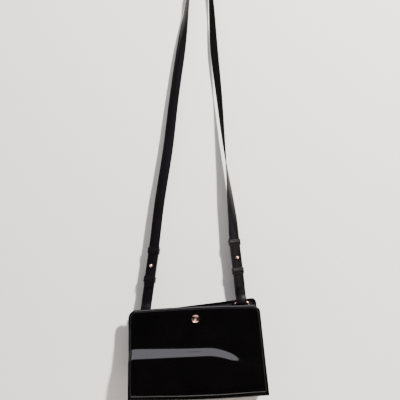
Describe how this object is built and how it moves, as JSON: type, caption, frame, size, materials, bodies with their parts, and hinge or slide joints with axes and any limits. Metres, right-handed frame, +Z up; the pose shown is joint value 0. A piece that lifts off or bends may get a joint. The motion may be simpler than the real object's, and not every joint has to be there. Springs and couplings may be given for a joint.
{
  "type": "satchel bag",
  "caption": "Small leather satchel with an opening front panel, side gussets, press-stud closure and a shoulder strap adjusted by studs, hanging by its strap.",
  "frame": {"origin": "underside of the strap's top bend, the point that hangs on a peg", "axes": "+X to the right seen from the front, +Y from the front panel towards the rear panel, +Z up"},
  "size_m": [0.228, 0.0678, 0.7426],
  "materials": {
    "outer_leather": "black, high gloss",
    "strap_leather": "black, semi-gloss",
    "lining_fabric": "dark woven cloth",
    "stiffener_board": "pressed fibre board",
    "polished_copper": "polished rose gold plating"
  },
  "bodies": {
    "strap": {"shoulder_strap": "strap_leather", "tab_left": "strap_leather", "tab_right": "strap_leather", "strap_stud_left": "polished_copper", "strap_stud_right": "polished_copper", "strap_stud_screw_left": "polished_copper", "strap_stud_screw_right": "polished_copper"},
    "ring_left": {"ring_left": "polished_copper"},
    "ring_right": {"ring_right": "polished_copper"},
    "bag": {"rear_panel": "outer_leather", "rear_lining": "lining_fabric", "slip_pocket": "lining_fabric", "base_panel": "outer_leather", "base_board": "stiffener_board", "gusset_left": "outer_leather", "gusset_right": "outer_leather", "chape_left": "strap_leather", "chape_right": "strap_leather", "chape_rivet_left": "polished_copper", "chape_rivet_right": "polished_copper", "closure_tab": "outer_leather", "snap_socket": "polished_copper", "socket_cap": "polished_copper"},
    "front": {"front_panel": "outer_leather", "front_lining": "lining_fabric", "snap_cap": "polished_copper", "snap_stud": "polished_copper"},
    "keeper_left_upper": {"keeper_left_upper": "strap_leather"},
    "keeper_left_lower": {"keeper_left_lower": "strap_leather"},
    "keeper_right_upper": {"keeper_right_upper": "strap_leather"},
    "keeper_right_lower": {"keeper_right_lower": "strap_leather"}
  },
  "joints": [
    {"name": "ring_left_swing", "type": "hinge", "parent": "strap", "child": "ring_left", "pos_m": [-0.0923, 0, -0.5995], "axis": [0.9965, 0, 0.0831], "range_deg": [-15, 15]},
    {"name": "ring_right_swing", "type": "hinge", "parent": "strap", "child": "ring_right", "pos_m": [0.066, 0, -0.5863], "axis": [0.9965, 0, 0.0831], "range_deg": [-15, 15]},
    {"name": "bag_swing", "type": "hinge", "parent": "ring_left", "child": "bag", "pos_m": [-0.09155, 0, -0.60847], "axis": [0.9965, 0, 0.0831], "range_deg": [-30, 8]},
    {"name": "front_open", "type": "hinge", "parent": "bag", "child": "front", "pos_m": [-0.00525, -0.0485, -0.73485], "axis": [0.9971, -0.0572, 0.0506], "range_deg": [0, 25], "deforming": ["gusset_left", "gusset_right"]},
    {"name": "keeper_left_upper_slide", "type": "slide", "parent": "strap", "child": "keeper_left_upper", "axis": [0.14, 0, 0.9902], "range_m": [-0.006, 0.006]},
    {"name": "keeper_left_lower_slide", "type": "slide", "parent": "strap", "child": "keeper_left_lower", "axis": [0.14, 0, 0.9902], "range_m": [-0.008, 0.006]},
    {"name": "keeper_right_upper_slide", "type": "slide", "parent": "strap", "child": "keeper_right_upper", "axis": [-0.1211, 0, 0.9926], "range_m": [-0.006, 0.006]},
    {"name": "keeper_right_lower_slide", "type": "slide", "parent": "strap", "child": "keeper_right_lower", "axis": [-0.1211, 0, 0.9926], "range_m": [-0.008, 0.006]}
  ],
  "couplings": [
    {"joint": "ring_right_swing", "follows": "ring_left_swing", "ratio": 1}
  ]
}
